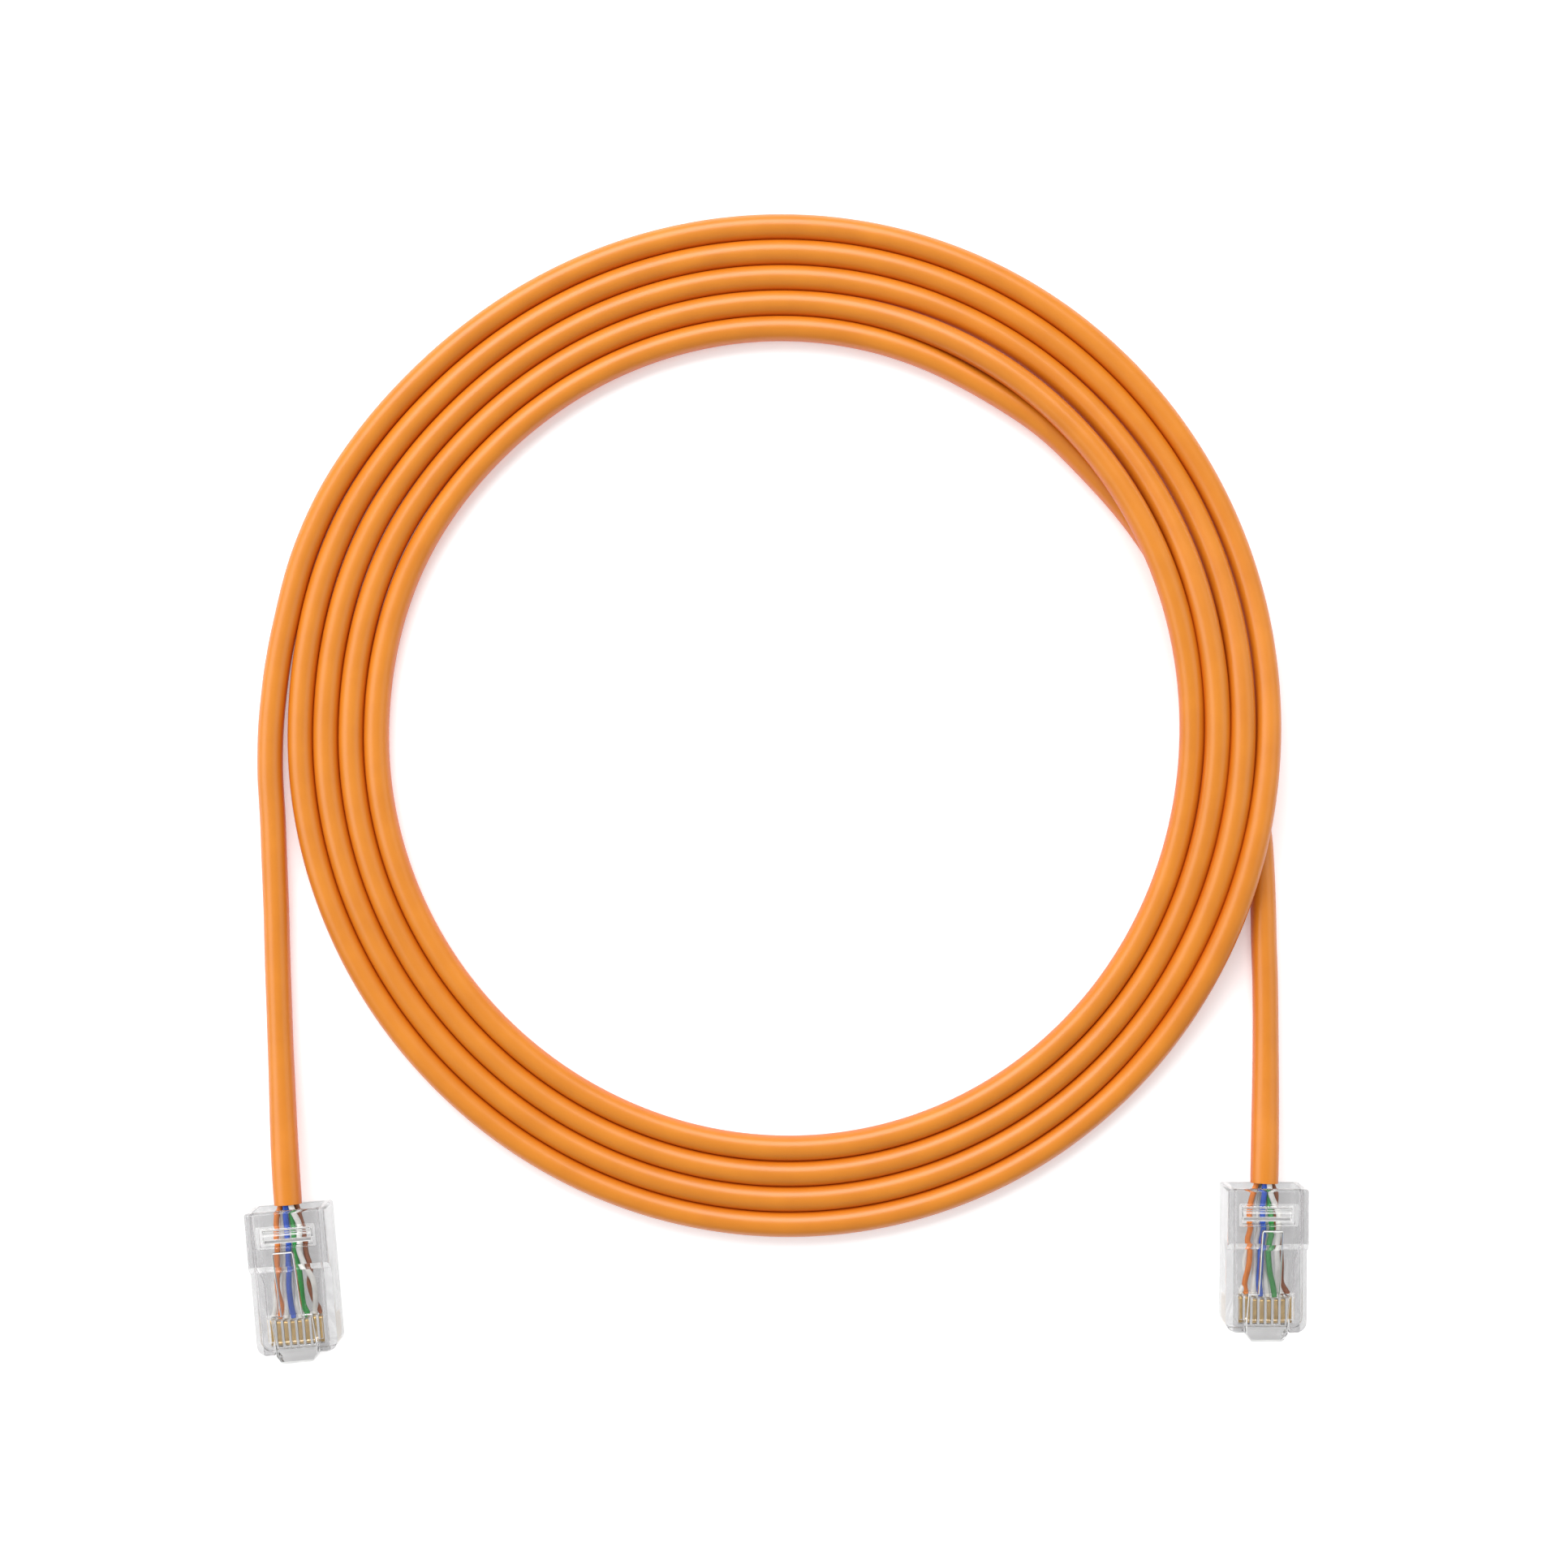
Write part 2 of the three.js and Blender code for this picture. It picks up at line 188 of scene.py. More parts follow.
def side_plate(name, outline, half_w):
    """A polygon of (distance from the rear face, height), spread over a width across the plug."""
    rings = [[(x, -along, up) for along, up in outline] for x in (-half_w, half_w)]
    return loft(name, rings)


def boolean(obj, others, operation, lining=None):
    """Cuts or joins obj with the others, which are used up. A cut's faces take the lining."""
    for other in others:
        if lining:
            other.data.materials.append(lining)
        cut = obj.modifiers.new("cut", "BOOLEAN")
        cut.object = other
        cut.operation = operation
        cut.solver = "EXACT"
        cut.material_mode = "TRANSFER"
    apply_modifiers(obj)
    for other in others:
        bpy.data.objects.remove(other)
    return obj


def apply_modifiers(obj):
    bpy.context.view_layer.update()
    graph = bpy.context.evaluated_depsgraph_get()
    mesh = bpy.data.meshes.new_from_object(obj.evaluated_get(graph), depsgraph=graph)
    obj.modifiers.clear()
    obj.data = mesh


def finish_moulding(obj, width, segments=2):
    """Softens the edges that cutting left sharp, and keeps flat faces flat in the shading.
    The softened edges take the second material, the painted edge highlight, if there is one."""
    bm = bmesh.new()
    bm.from_mesh(obj.data)
    bmesh.ops.remove_doubles(bm, verts=bm.verts, dist=0.004)
    bmesh.ops.dissolve_limit(bm, angle_limit=math.radians(1), verts=bm.verts, edges=bm.edges)
    bm.to_mesh(obj.data)
    bm.free()
    if width:
        bevel = obj.modifiers.new("edges", "BEVEL")
        bevel.material = 1 if len(obj.data.materials) > 1 else -1
        bevel.width = width
        bevel.segments = segments
        bevel.limit_method = "ANGLE"
        bevel.angle_limit = math.radians(40)
        apply_modifiers(obj)
    mesh = obj.data
    mesh.polygons.foreach_set("use_smooth", [True] * len(mesh.polygons))
    mesh.set_sharp_from_angle(angle=math.radians(38))
    weigh = obj.modifiers.new("weigh", "WEIGHTED_NORMAL")
    weigh.keep_sharp = True
    weigh.weight = 80
    apply_modifiers(obj)


# ---- materials -----------------------------------------------------------------------------
def new_material(name, **values):
    """A Principled material; keywords name its sockets with _ for spaces."""
    mat = bpy.data.materials.new(name)
    mat.use_nodes = True
    shader = mat.node_tree.nodes["Principled BSDF"]
    for key, value in values.items():
        shader.inputs[key.replace("_", " ")].default_value = value
    return mat


def add(mat, kind, **values):
    node = mat.node_tree.nodes.new(kind)
    for key, value in values.items():
        if hasattr(node, key):
            setattr(node, key, value)
        else:
            node.inputs[key.replace("_", " ")].default_value = value
    return node


def link(mat, out, into):
    mat.node_tree.links.new(out, into)


def shader_of(mat):
    return mat.node_tree.nodes["Principled BSDF"]


def ramp_between(mat, factor, low, high, colour_low, colour_high):
    ramp = add(mat, "ShaderNodeValToRGB")
    ramp.color_ramp.elements[0].position = low
    ramp.color_ramp.elements[0].color = (*colour_low, 1)
    ramp.color_ramp.elements[1].position = high
    ramp.color_ramp.elements[1].color = (*colour_high, 1)
    link(mat, factor, ramp.inputs["Fac"])
    return ramp.outputs["Color"]


def grain(mat, vector, scale, strength, distance, detail=3.0):
    """Bump from a noise, onto the material's Principled shader."""
    noise = add(mat, "ShaderNodeTexNoise", Scale=scale, Detail=detail)
    link(mat, vector, noise.inputs["Vector"])
    bump = add(mat, "ShaderNodeBump", Strength=strength, Distance=distance)
    link(mat, noise.outputs["Fac"], bump.inputs["Height"])
    link(mat, bump.outputs["Normal"], shader_of(mat).inputs["Normal"])
    return bump


def jacket_material():
    """Satin orange PVC with a fine extruded grain, and painted shade: darker and redder down its
    sides.
    cord_place is (along, around) in metres, and in z from -0.001 below to 0.001 on top."""
    mat = new_material("jacket_pvc", IOR=1.5, Specular_IOR_Level=0.6)
    place = add(mat, "ShaderNodeAttribute", attribute_name="cord_place")
    mottle = add(mat, "ShaderNodeTexNoise", Scale=160.0, Detail=4.0)
    link(mat, place.outputs["Vector"], mottle.inputs["Vector"])
    top = ramp_between(
        mat, mottle.outputs["Fac"], 0.3, 0.7, (0.64, 0.2, 0.01), (0.7, 0.228, 0.012)
    )
    split = add(mat, "ShaderNodeSeparateXYZ")
    link(mat, place.outputs["Vector"], split.inputs["Vector"])
    # Painted shade: the strand's top keeps the mottled orange, and its sides blend into a darker,
    # redder orange.
    side_shade_mask = add(mat, "ShaderNodeMapRange", interpolation_type="SMOOTHSTEP")
    side_shade_mask.inputs["From Min"].default_value = -0.0002
    side_shade_mask.inputs["From Max"].default_value = 0.0009
    link(mat, split.outputs["Z"], side_shade_mask.inputs["Value"])
    painted_side_shade = add(mat, "ShaderNodeMix", data_type="RGBA")
    # The darker, redder painted shade colour for the strand's sides.
    painted_side_shade.inputs["A"].default_value = (0.6, 0.09, 0.003, 1)
    link(mat, side_shade_mask.outputs["Result"], painted_side_shade.inputs["Factor"])
    link(mat, top, painted_side_shade.inputs["B"])
    link(mat, painted_side_shade.outputs["Result"], shader_of(mat).inputs["Base Color"])
    rough = add(mat, "ShaderNodeMapRange", To_Min=0.29, To_Max=0.38)
    link(mat, mottle.outputs["Fac"], rough.inputs["Value"])
    link(mat, rough.outputs["Result"], shader_of(mat).inputs["Roughness"])
    stretch = add(mat, "ShaderNodeVectorMath", operation="MULTIPLY")
    stretch.inputs[1].default_value = (0.25, 1.0, 1.0)
    link(mat, place.outputs["Vector"], stretch.inputs[0])
    grain(mat, stretch.outputs["Vector"], 3200.0, 0.16, 0.00005)
    return mat


def insulation_material(name, colour):
    """Glossy polyethylene insulation."""
    mat = new_material(name, Roughness=0.34, Specular_IOR_Level=0.5)
    place = add(mat, "ShaderNodeAttribute", attribute_name="cord_place")
    noise = add(mat, "ShaderNodeTexNoise", Scale=900.0, Detail=3.0)
    link(mat, place.outputs["Vector"], noise.inputs["Vector"])
    dark = tuple(0.86 * c for c in colour)
    base = ramp_between(mat, noise.outputs["Fac"], 0.35, 0.65, dark, colour)
    link(mat, base, shader_of(mat).inputs["Base Color"])
    grain(mat, place.outputs["Vector"], 5000.0, 0.1, 0.00003)
    return mat


def gold_material():
    """Gold flash over nickel on a stamped blade."""
    mat = new_material("gold_contact", Metallic=0.7)
    coords = add(mat, "ShaderNodeTexCoord")
    noise = add(mat, "ShaderNodeTexNoise", Scale=1500.0, Detail=4.0)
    link(mat, coords.outputs["Object"], noise.inputs["Vector"])
    colour = ramp_between(
        mat, noise.outputs["Fac"], 0.3, 0.7, (0.5, 0.32, 0.11), (0.64, 0.43, 0.17)
    )
    link(mat, colour, shader_of(mat).inputs["Base Color"])
    rough = add(mat, "ShaderNodeMapRange", To_Min=0.22, To_Max=0.42)
    link(mat, noise.outputs["Fac"], rough.inputs["Value"])
    link(mat, rough.outputs["Result"], shader_of(mat).inputs["Roughness"])
    grain(mat, coords.outputs["Object"], 6000.0, 0.1, 0.00003)
    return mat


def clear_material(name, tint, shade):
    """Clear moulded polycarbonate; lamps shine through it, dimmed by the shade."""
    mat = new_material(
        name, Base_Color=(*tint, 1), IOR=1.58, Transmission_Weight=1.0,
    )
    coords = add(mat, "ShaderNodeTexCoord")
    noise = add(mat, "ShaderNodeTexNoise", Scale=420.0, Detail=3.0)
    link(mat, coords.outputs["Object"], noise.inputs["Vector"])
    rough = add(mat, "ShaderNodeMapRange", To_Min=0.015, To_Max=0.05)
    link(mat, noise.outputs["Fac"], rough.inputs["Value"])
    link(mat, rough.outputs["Result"], shader_of(mat).inputs["Roughness"])
    grain(mat, coords.outputs["Object"], 90.0, 0.012, 0.00008, detail=1.0)
    path = add(mat, "ShaderNodeLightPath")
    pass_on = add(mat, "ShaderNodeBsdfTransparent")
    pass_on.inputs["Color"].default_value = (*shade, 1)
    mix = add(mat, "ShaderNodeMixShader")
    link(mat, path.outputs["Is Shadow Ray"], mix.inputs["Fac"])
    link(mat, shader_of(mat).outputs["BSDF"], mix.inputs[1])
    link(mat, pass_on.outputs["BSDF"], mix.inputs[2])
    link(mat, mix.outputs["Shader"], mat.node_tree.nodes["Material Output"].inputs["Surface"])
    return mat


def painted_edge_highlight_material():
    """The plug's bright edge lines, drawn as whitish edge faces that scatter the light: a painted
    highlight.
    """
    mat = new_material(
        "clear_edge_painted_highlight", IOR=1.58, Transmission_Weight=0.15, Roughness=0.3,
    )
    coords = add(mat, "ShaderNodeTexCoord")
    noise = add(mat, "ShaderNodeTexNoise", Scale=900.0, Detail=2.0)
    link(mat, coords.outputs["Object"], noise.inputs["Vector"])
    tone = ramp_between(mat, noise.outputs["Fac"], 0.3, 0.7, (0.82, 0.82, 0.81), (0.95, 0.95, 0.94))
    link(mat, tone, shader_of(mat).inputs["Base Color"])
    return mat


COLOURS = {
    "white": (0.88, 0.87, 0.83),
    "orange": (0.85, 0.24, 0.03),
    "green": (0.02, 0.33, 0.05),
    "blue": (0.03, 0.11, 0.6),
    "brown": (0.3, 0.09, 0.03),
}
# Pins 1 to 8. The white wires are plain: the photo shows no stripe on them.
PIN_WIRES = ["white", "orange", "white", "blue", "white", "green", "white", "brown"]

JACKET = jacket_material()
CLEAR = clear_material("clear_polycarbonate", (0.53, 0.525, 0.53), (0.72, 0.72, 0.72))
INNER = clear_material("clear_inner", (0.96, 0.96, 0.96), (0.96, 0.96, 0.96))
# The painted highlight for the plug's edge lines.
EDGE_HIGHLIGHT = painted_edge_highlight_material()
GOLD = gold_material()
WIRE_MATERIALS = {
    colour: insulation_material(f"wire_{colour}", value) for colour, value in COLOURS.items()
}


# ---- camera, light and floor ---------------------------------------------------------------
VIEW_CENTRE = (1.1, 70.93)
CAMERA_HEIGHT = 380.0
VIEW_WIDTH = 230.0
FLOOR_REACH = 3.0  # metres


def make_camera():
    data = bpy.data.cameras.new("camera")
    data.sensor_width = 36.0
    data.lens = 36.0 * CAMERA_HEIGHT / VIEW_WIDTH
    data.clip_start = 0.01
    camera = bpy.data.objects.new("camera", data)
    camera.location = (VIEW_CENTRE[0] * MM, VIEW_CENTRE[1] * MM, CAMERA_HEIGHT * MM)
    bpy.context.scene.collection.objects.link(camera)
    bpy.context.scene.camera = camera


def area_light(name, place, width, height, power):
    """A soft box aimed at the middle of the coil."""
    data = bpy.data.lights.new(name, "AREA")
    data.shape = "RECTANGLE"
    data.size = width
    data.size_y = height
    data.energy = power
    lamp = bpy.data.objects.new(name, data)
    lamp.location = place
    direction = Vector((0, 0.07, 0)) - Vector(place)
    lamp.rotation_euler = direction.to_track_quat("-Z", "Y").to_euler()
    bpy.context.scene.collection.objects.link(lamp)


def make_studio():
    scene = bpy.context.scene
    scene.view_settings.view_transform = "Standard"
    world = bpy.data.worlds.new("studio")
    world.use_nodes = True
    world.node_tree.nodes["Background"].inputs["Color"].default_value = (1, 1, 1, 1)
    world.node_tree.nodes["Background"].inputs["Strength"].default_value = 0.45
    scene.world = world
    area_light("key", (-0.2, 0.82, 0.8), 1.1, 0.72, 12.5)
    area_light("left", (-0.95, 0.1, 0.75), 0.8, 0.8, 4.6)
    area_light("right", (0.95, 0.15, 0.75), 0.8, 0.8, 1.8)
    floor_mat = new_material("floor_pale", Roughness=0.9, Specular_IOR_Level=0.0)
    coords = add(floor_mat, "ShaderNodeTexCoord")
    noise = add(floor_mat, "ShaderNodeTexNoise", Scale=40.0)
    link(floor_mat, coords.outputs["Object"], noise.inputs["Vector"])
    tone = ramp_between(
        floor_mat, noise.outputs["Fac"], 0.3, 0.7, (0.95, 0.95, 0.95), (0.97, 0.97, 0.97)
    )
    link(floor_mat, tone, shader_of(floor_mat).inputs["Base Color"])
    shader_of(floor_mat).inputs["Emission Color"].default_value = (1, 1, 1, 1)
    shader_of(floor_mat).inputs["Emission Strength"].default_value = 0.27
    r = FLOOR_REACH
    corners = [(-r, -r, 0), (r, -r, 0), (r, r, 0), (-r, r, 0)]
    floor = new_object("floor", corners, [(0, 1, 2, 3)], smooth=False)
    floor.data.materials.append(floor_mat)


make_camera()
make_studio()


# ---- cord ----------------------------------------------------------------------------------
def smoothstep(x, start, end):
    t = np.clip((np.asarray(x, float) - start) / (end - start), 0, 1)
    return t * t * (3 - 2 * t)


def turn_radius(angle, wound):
    """The outermost turn's radius at an angle in degrees, wound that many turns past the far side."""
    a = math.radians(angle)
    return COIL_R - PITCH * wound - OVAL * math.cos(2 * a) - EGG * math.cos(3 * a)


def coil_points(first=168, last=64, step=8):
    """Four whole turns and the fifth strand's start, clockwise and inwards from beside end A.
    The turns bow out a little where the first settles against the next."""
    points = []
    total = first - last + 4 * 360
    for k in range(int(total / step) + 1):
        angle = first - k * step
        a = math.radians(angle)
        turn = (first - angle) // 360
        bow = (0.7 - 0.1 * turn) * math.exp(-((angle + 360 * turn - 154) / 14) ** 2)
        r = turn_radius(angle, (90 - angle) / 360) + bow
        points.append((COIL_CENTRE[0] + r * math.cos(a), COIL_CENTRE[1] + r * math.sin(a), LYING_Z))
    return points


def smooth_through(points, spacing):
    """Points along a centripetal Catmull-Rom curve through the given ones, evenly spaced."""
    p = np.array(points, float)
    p = np.vstack([2 * p[0] - p[1], p, 2 * p[-1] - p[-2]])
    fine = []
    for i in range(1, len(p) - 2):
        q = p[i - 1:i + 3]
        t = np.concatenate([[0], np.cumsum(np.sqrt(np.linalg.norm(np.diff(q, axis=0), axis=1)))])
        u = np.linspace(t[1], t[2], 24, endpoint=False)[:, None]
        a = [(t[j + 1] - u) / (t[j + 1] - t[j]) * q[j] + (u - t[j]) / (t[j + 1] - t[j]) * q[j + 1]
             for j in range(3)]
        b = [(t[j + 2] - u) / (t[j + 2] - t[j]) * a[j] + (u - t[j]) / (t[j + 2] - t[j]) * a[j + 1]
             for j in range(2)]
        fine.append((t[2] - u) / (t[2] - t[1]) * b[0] + (u - t[1]) / (t[2] - t[1]) * b[1])
    fine = np.vstack([*fine, p[-2]])
    along = np.concatenate([[0], np.cumsum(np.linalg.norm(np.diff(fine, axis=0), axis=1))])
    count = max(int(round(along[-1] / spacing)), 2)
    where = np.linspace(0, along[-1], count + 1)
    return np.column_stack([np.interp(where, along, fine[:, k]) for k in range(3)])


def cord_route():
    """The whole centre line from plug a to plug b, in millimetres."""
    start = list(reversed(END_A))
    dive = [(x, y, LYING_Z) for x, y in DIVE]
    route = smooth_through(start + coil_points() + dive + END_B, 1.2)
    return lift_over(route, smooth_through(dive, 0.6))


def lift_over(route, buried):
    """Raises the turns where they lie on the buried strand, in long low humps."""
    along = np.concatenate([[0], np.cumsum(np.linalg.norm(np.diff(route, axis=0), axis=1))])
    gap = np.min(np.linalg.norm(route[:, None, :2] - buried[None, :, :2], axis=2), axis=1)
    dive_start = along[np.argmin(np.linalg.norm(route - buried[0], axis=1))]
    need = np.sqrt(np.clip((CORD_D + STRAND_GAP) ** 2 - gap ** 2, 0, None))
    need[along > dive_start - 12] = 0
    lift = np.zeros(len(route))
    for i in np.nonzero(need)[0]:
        away = np.clip(np.abs(along - along[i]) / SPAN, 0, 1)
        lift = np.maximum(lift, need[i] * (0.5 + 0.5 * np.cos(math.pi * away)))
    lift = soften(lift, 4)
    route[:, 2] += lift
    # Seen from above the humps still lie edge to edge, so each is nearer the middle than it looks.
    view = np.array(VIEW_CENTRE)
    route[:, :2] -= (route[:, :2] - view) * (lift / CAMERA_HEIGHT)[:, None]
    return route


def soften(values, reach):
    kernel = np.hanning(2 * reach + 1)
    kernel /= kernel.sum()
    return np.convolve(np.pad(values, reach, mode="edge"), kernel, mode="valid")


def tube(name, route, half_w, half_h, sides, open_ends=0.0):
    """A round skin along a route, with each ring's half width and height; cord_place is stored.
    With open_ends, each end is cut square and hollow: the share of the radius that is open."""
    tangent = np.gradient(route, axis=0)
    tangent /= np.linalg.norm(tangent, axis=1)[:, None]
    side = np.cross(tangent, (0, 0, 1))
    side /= np.linalg.norm(side, axis=1)[:, None]
    up = np.cross(side, tangent)
    count = len(route)
    half_w = np.broadcast_to(half_w, count)
    half_h = np.broadcast_to(half_h, count)
    turn = 2 * math.pi * np.arange(sides) / sides
    along = np.concatenate([[0], np.cumsum(np.linalg.norm(np.diff(route, axis=0), axis=1))])

    def ring(i, scale=1.0, push=0.0):
        w = half_w[i] * scale * np.cos(turn)[:, None] * side[i]
        h = half_h[i] * scale * np.sin(turn)[:, None] * up[i]
        return route[i] + push * tangent[i] + w + h

    rings, places = [], []

    def put(points, s):
        rings.append(points)
        places.append(np.column_stack([np.full(sides, s), turn * half_w[0], np.sin(turn)]))

    def end(i, way):
        steps = [(open_ends * 0.9, -0.7), (open_ends, -0.25), (open_ends, -0.06),
                 (open_ends + 0.06, 0.0), (0.93, 0.0), (0.985, -0.035)]
        if not open_ends:
            steps = [(0.55, 0.0), (0.85, -0.03), (0.96, -0.09)]
        steps = steps if way < 0 else steps[::-1]
        for scale, depth in steps:
            put(ring(i, scale, way * depth), along[i])

    end(0, -1)
    for i in range(1, count - 1):
        put(ring(i), along[i])
    end(count - 1, 1)
    obj = loft(name, [r * MM for r in rings])
    obj.data.polygons.foreach_set("use_smooth", [True] * len(obj.data.polygons))
    obj.data.set_sharp_from_angle(angle=math.radians(50))
    attribute = obj.data.attributes.new("cord_place", "FLOAT_VECTOR", "POINT")
    attribute.data.foreach_set("vector", (np.vstack(places) * MM).ravel())
    return obj


def make_cord():
    route = cord_route()
    along = np.concatenate([[0], np.cumsum(np.linalg.norm(np.diff(route, axis=0), axis=1))])
    to_end = np.minimum(along, along[-1] - along)
    pinch = 1 - smoothstep(to_end, 2, 26)
    half = CORD_D / 2
    squash = 1.02
    cord = tube(
        "cord", route, half * (squash + 0.1 * pinch), half * (1 - 0.09 * pinch), 24, 0.8
    )
    cord.data.materials.append(JACKET)
    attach(cord, "root")
    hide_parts("cord_coil", "cord_end_a", "cord_end_b")
    print(f"cord length {along[-1]:.0f} mm")


make_cord()


# ---- plug ----------------------------------------------------------------------------------
def plug_matrix(letter):
    """From plug millimetres to the row frame, from the front face mount."""
    mount = next(m for m in frame["record"]["mounts"] if m["name"] == f"front_face_{letter}")
    nose = Vector(mount["axis"])
    rear = Vector(mount["pos_m"]) - nose * BODY_L * MM
    rear.z = 0
    turn = math.atan2(nose.x, -nose.y)
    return Matrix.Translation(rear) @ Matrix.Rotation(turn, 4, "Z") @ Matrix.Scale(MM, 4)


def pin_x(pin):
    return (pin - (PINS - 1) / 2) * PIN_PITCH


def nose_outline(start, inset=0.0):
    tip = BODY_L + NOSE_L - inset
    half = [
        (3.4 - inset, start), (3.4 - inset, BODY_L - 0.05), (3.05 - inset, BODY_L + 0.12),
        (2.75 - inset, BODY_L + 0.42), (2.5 - inset, tip - 0.35), (2.3 - inset, tip - 0.12),
        (2.0 - inset, tip),
    ]
    return [(x, -y) for x, y in half] + [(-x, -y) for x, y in reversed(half)]


def cavity_cutter():
    sections = [(-1.0, 4.85, 1.0, 6.8), (7.4, 4.85, 1.0, 6.8), (10.9, 4.3, 1.75, 4.7),
                (CAVITY_END, 4.3, 1.75, 4.7)]
    rings = []
    for along, half, low, high in sections:
        outline = rounded_rect(half, high, low, 0.5, 0.5)
        rings.append([(x, -along, z) for x, z in outline])
    return loft("cavity", rings)


def housing_mesh():
    """The clear body: tall rear block, lower front block, nose; hollow behind the blades."""
    half = PLUG_W / 2
    body = rounded_block("rear", half, 0, -STEP_Y - 1.6, 0, REAR_H, 0.4, 0.3, 0.22, 0.45)
    front = rounded_block("front", half, -1, -BODY_L, 0, FRONT_H, 0.3, 1.5, 0.22, 0.35)
    nose = [[(x, y, z) for x, y in nose_outline(BODY_L - 1.5, inset)]
            for inset, z in ((0.25, 2.6), (0.06, 2.68), (0, 2.85), (0, 5.4))]
    step = [(STEP_Y + 1, FRONT_H), (STEP_Y, REAR_H), (STEP_Y, 9), (12, 9), (12, FRONT_H)]
    body.data.materials.append(CLEAR)
    # The second material is the painted edge highlight, for the bevelled edges.
    body.data.materials.append(EDGE_HIGHLIGHT)
    boolean(body, [front, loft("nose", nose)], "UNION")
    pocket = [(15.0, FRONT_H), (16.5, 5.95), (19.0, 5.95), (19.0, 8), (15.0, 8)]
    mouth = [(18.8, 5.95), (19.1, 5.4), (BODY_L + 2, 5.4), (BODY_L + 2, 8), (18.8, 8)]
    width, start, end = WINDOW
    cutters = [
        side_plate("step", step, half + 1),
        side_plate("pocket", pocket, 3.95),
        side_plate("mouth", mouth, 3.3),
        rounded_block("frame", 4.3, -2.05, -5.35, REAR_H - 0.28, 9, 0.25, 0.25, 0.08, 0.05),
        rounded_block("window", width / 2 - 0.2, -start, -end, 5.8, 9, 0.2, 0.2, 0.05, 0.05),
        cavity_cutter(),
    ]
    for side in (-1, 1):
        low, high = sorted((side * 4.75, side * (half + 1)))
        cutters.append(box("rebate", (low, -BODY_L - 1, FRONT_H - 0.6), (high, -STEP_Y - 1.05, 9)))
    boolean(body, cutters, "DIFFERENCE", INNER)
    finish_moulding(body, 0.18, 3)
    slots = [
        box(
            "slot", (pin_x(pin) - SLOT_HALF, -19.87, -1),
            (pin_x(pin) + SLOT_HALF, -CAVITY_END + 0.1, 4.42),
        )
        for pin in range(PINS)
    ]
    boolean(body, slots, "DIFFERENCE", INNER)
    return body


def latch_mesh():
    """Nose root, catch shoulders and tab in one strip that rises to the rear."""
    tip = BODY_L + NOSE_L
    low = HINGE[1] - 0.15
    end = LATCH_TOP - LATCH_T

    def under(along):
        return float(np.interp(along, (LATCH_END, SHOULDER[0], 20), (end, SHOULDER[1], low)))

    stations = [
        # distance from the rear, half width, underside, thickness
        (tip, 2.0, low + 0.25, 0.75), (tip - 0.12, 2.3, low + 0.08, 1.15),
        (tip - 0.35, 2.5, low, 1.35), (BODY_L + 0.42, 2.75, low, 1.5), (BODY_L, 3.0, low, 1.5),
        (20.0, 3.0, low + 0.05, 1.42), (19.0, 3.0, under(19), 1.25), (17.5, 3.0, under(17.5), 1.15),
        (15.3, 3.0, under(15.3), LATCH_T), (15.05, 2.96, under(15.05), LATCH_T),
        (15.0, 1.56, under(15.0), LATCH_T), (12.0, 1.53, under(12), LATCH_T),
        (9.0, 1.5, under(9), LATCH_T), (5.9, 1.5, under(5.9), LATCH_T),
        (5.55, 1.46, under(5.55) + 0.02, LATCH_T - 0.06),
        (LATCH_END, 1.32, under(LATCH_END) + 0.14, LATCH_T - 0.3),
    ]
    rings = []
    soft = 0.16
    for along, half, z, thick in stations:
        ring = []
        for cx, cz, start in ((1, 1, 0), (-1, 1, 90), (-1, 0, 180), (1, 0, 270)):
            x0 = cx * (half - soft)
            z0 = z + (thick - soft if cz else soft)
            ring += [(x, -along, zz) for x, zz in arc(x0, z0, soft, start, start + 90, 3)]
        rings.append(ring)
    obj = loft("latch", rings)
    obj.data.materials.append(INNER)
    obj.data.materials.append(EDGE_HIGHLIGHT)
    finish_moulding(obj, 0)
    # The sloping faces of the latch's rounded corners take the painted edge highlight.
    for face in obj.data.polygons:
        if 0.25 < face.normal.z < 0.9:
            face.material_index = 1
    return obj


def clamp_mesh():
    profile = [
        (2.65, 7.2), (2.65, 5.95), (3.0, 5.45), (4.35, 5.45), (4.75, 5.9), (4.75, 6.8),
        (4.2, 6.8), (4.1, 7.1), (3.55, 7.1), (3.45, 6.85), (3.2, 6.85), (3.1, 7.2),
    ]
    obj = side_plate("clamp", profile, WINDOW[0] / 2 - 0.6)
    obj.data.materials.append(INNER)
    # The second material is the painted edge highlight, for the bevelled edges.
    obj.data.materials.append(EDGE_HIGHLIGHT)
    finish_moulding(obj, 0.05)
    return obj
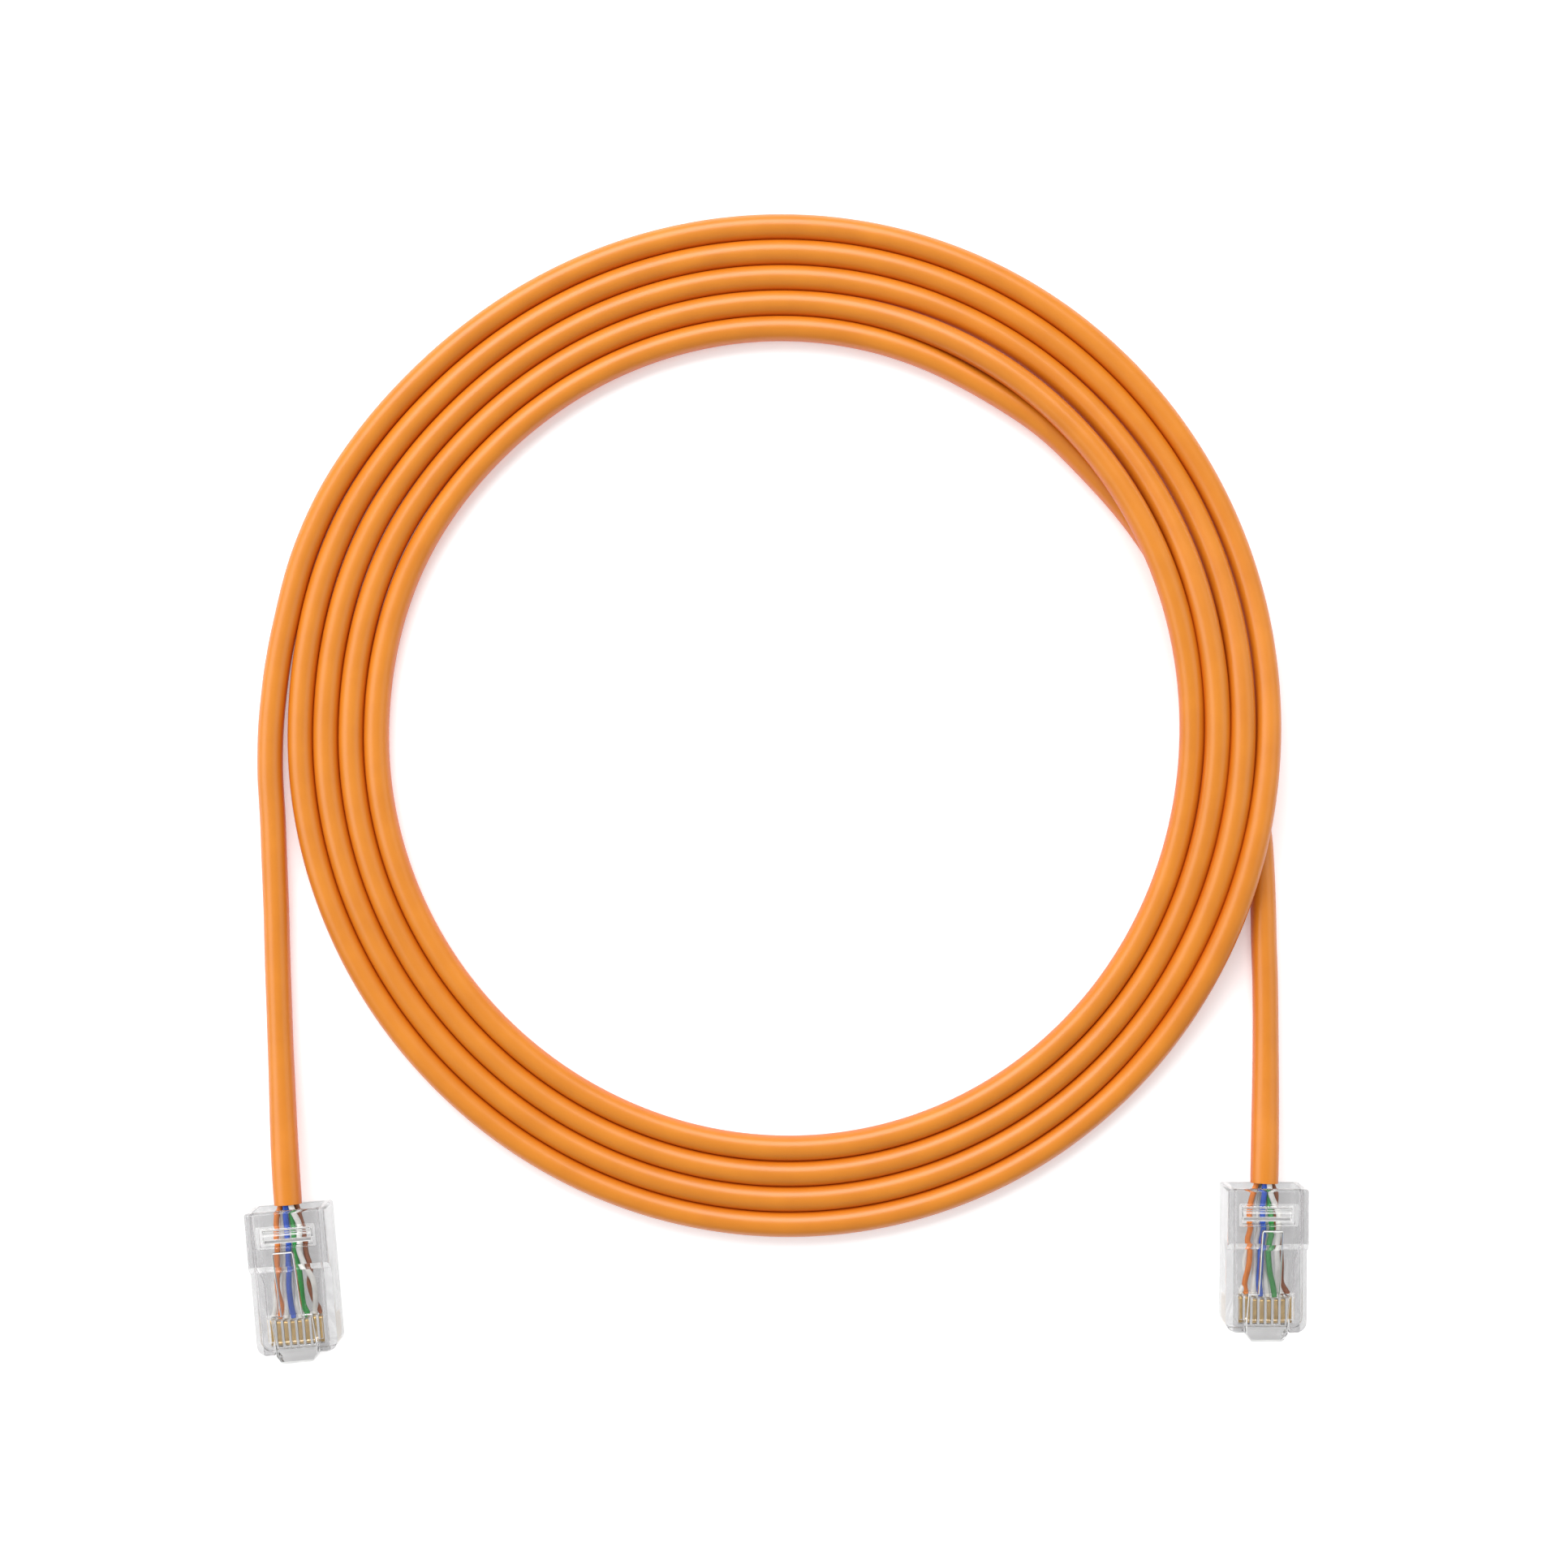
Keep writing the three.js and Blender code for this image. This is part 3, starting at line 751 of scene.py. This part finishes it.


# Each wire as (distance from the rear, across) on its way to its blade. The bundle is seen
# fanning out, crossing itself here and there.
WIRE_PATHS = {
    "a": [
        [(0, -0.9), (3.7, -1.25), (6.8, -1.6), (11.4, -2.9), (14.4, -3.1)],
        [(0, -1.2), (1.2, -1.7), (3.7, -1.97), (6.8, -2.15), (11.4, -2.45), (14.2, -2.15)],
        [(0, -0.7), (3.7, -0.9), (6.8, -1.1), (11.4, -1.5), (14.4, -1.4)],
        [(0, -0.3), (3.7, -0.34), (6.8, -0.5), (11.4, -0.72), (14.4, -0.7)],
        [(0, 0.1), (4, -0.55), (6.8, -0.1), (11.4, 0.15), (14.4, 0.2)],
        [(0, 0.45), (3.7, 0.6), (6.8, 0.5), (9, 0.75), (11.4, 0.95), (14.4, 1.0)],
        [(0, 0.6), (2.5, 1.55), (4.6, 1.4), (6, 1.15), (8.9, 1.9), (10.8, 2.85), (13, 2.95)],
        [(0, 1.2), (1.2, 1.5), (3.7, 1.94), (6.8, 2.0), (9, 2.4), (11.4, 2.2), (14.2, 2.75)],
    ],
    "b": [
        [(0, -0.9), (3.9, -1.5), (8.5, -1.9), (11.4, -2.7), (13.8, -2.35), (15, -3.1)],
        [(0, -1.2), (1.2, -1.7), (3.9, -2.25), (6.1, -2.0), (8.2, -2.4), (9, -2.05),
         (11.6, -2.25), (14.2, -2.75)],
        [(0, -0.6), (3.9, -0.95), (6.5, -0.6), (8.5, -1.0), (11.6, -1.2), (14.1, -1.4)],
        [(0, -0.05), (3.9, -0.4), (6.1, -0.1), (8.5, -0.4), (11.6, -0.62), (14.1, -0.7)],
        [(0, 0.2), (6.1, 0.45), (11.6, 0.1), (14.1, 0.3)],
        [(0, 0.5), (3.9, 0.83), (6.1, 1.15), (8.5, 0.65), (11.6, 0.65), (14.1, 1.2)],
        [(0, 0.6), (1.2, 0.8), (3.9, 1.9), (6.1, 2.0), (8.5, 1.7), (11.6, 1.75), (14.1, 2.0)],
        [(0, 1.25), (1.2, 1.65), (3.9, 1.5), (6.1, 1.75), (8.5, 2.35), (11.6, 2.45), (14.1, 2.6)],
    ],
}
# Height over the bundle's middle at the cord's cut end, in pin order.
WIRE_STARTS = [-0.5, 0.15, -0.75, 0.7, -0.7, 0.3, 0.85, -0.1]
# The coloured wires lie in the upper layer, and one white wire higher still, across the brown.
# These count from 0, as the loops over pins do.
UPPER_PINS = (1, 3, 5, 7)
TOP_PIN = 6


def wire_route(pin, path):
    """From inside the jacket's cut end to the blade, smooth and level at the end."""
    ends = [(-1.2, 0.8 * path[0][1])] + path + [(WIRE_END, pin_x(pin))]
    layer = 1.1 if pin == TOP_PIN else 0.5 if pin in UPPER_PINS else -0.42
    points = []
    for d, x in ends:
        spread = float(smoothstep(d, 0.5, 9.0))
        level = float(smoothstep(d, 11.6, 15.2))
        high = CABLE_Z - 0.1 + WIRE_STARTS[pin]
        low = WIRE_Z + layer * (1 - level)
        points.append((x, -d, (1 - spread) * high + spread * low))
    return smooth_through(points, 0.35)


def blade_mesh():
    """A stamped contact: a flat plate on edge with a rounded foot."""
    profile = [
        (16.05, 1.2), (16.2, 0.7), (16.55, 0.35), (19.15, 0.35), (19.6, 0.6), (19.75, 0.95),
        (19.75, 4.05), (19.5, 4.3), (16.35, 4.3), (16.05, 4.05),
    ]
    obj = side_plate("blade", profile, BLADE_HALF)
    finish_moulding(obj, 0.06)
    return obj


def make_plug(letter, parts, blade):
    place = plug_matrix(letter)
    for kind, source in parts.items():
        obj = bpy.data.objects.new(f"plug_{letter}_{kind}_clear", source.data.copy())
        bpy.context.scene.collection.objects.link(obj)
        obj.data.transform(place)
        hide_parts(f"plug_{letter}_{kind}")
        if kind == "latch":
            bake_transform(obj)
        else:
            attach(obj, "root")
    for pin, colour in enumerate(PIN_WIRES):
        route = wire_route(pin, WIRE_PATHS[letter][pin])
        wire = tube(f"plug_{letter}_wire_{pin + 1}_insulated", route, WIRE_D / 2, WIRE_D / 2, 16)
        wire.data.transform(place @ Matrix.Scale(1 / MM, 4))
        wire.data.materials.append(WIRE_MATERIALS[colour])
        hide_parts(f"plug_{letter}_wire_{pin + 1}")
        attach(wire, "root")
        contact = bpy.data.objects.new(f"plug_{letter}_contact_{pin + 1}_gold", blade.data.copy())
        bpy.context.scene.collection.objects.link(contact)
        contact.data.transform(place @ Matrix.Translation((pin_x(pin), 0, 0)))
        contact.data.materials.append(GOLD)
        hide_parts(f"plug_{letter}_contact_{pin + 1}")
        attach(contact, "root")


def make_plugs():
    parts = {"housing": housing_mesh(), "latch": latch_mesh(), "clamp_bar": clamp_mesh()}
    blade = blade_mesh()
    for letter in "ab":
        make_plug(letter, parts, blade)
    for source in (*parts.values(), blade):
        bpy.data.objects.remove(source)


make_plugs()
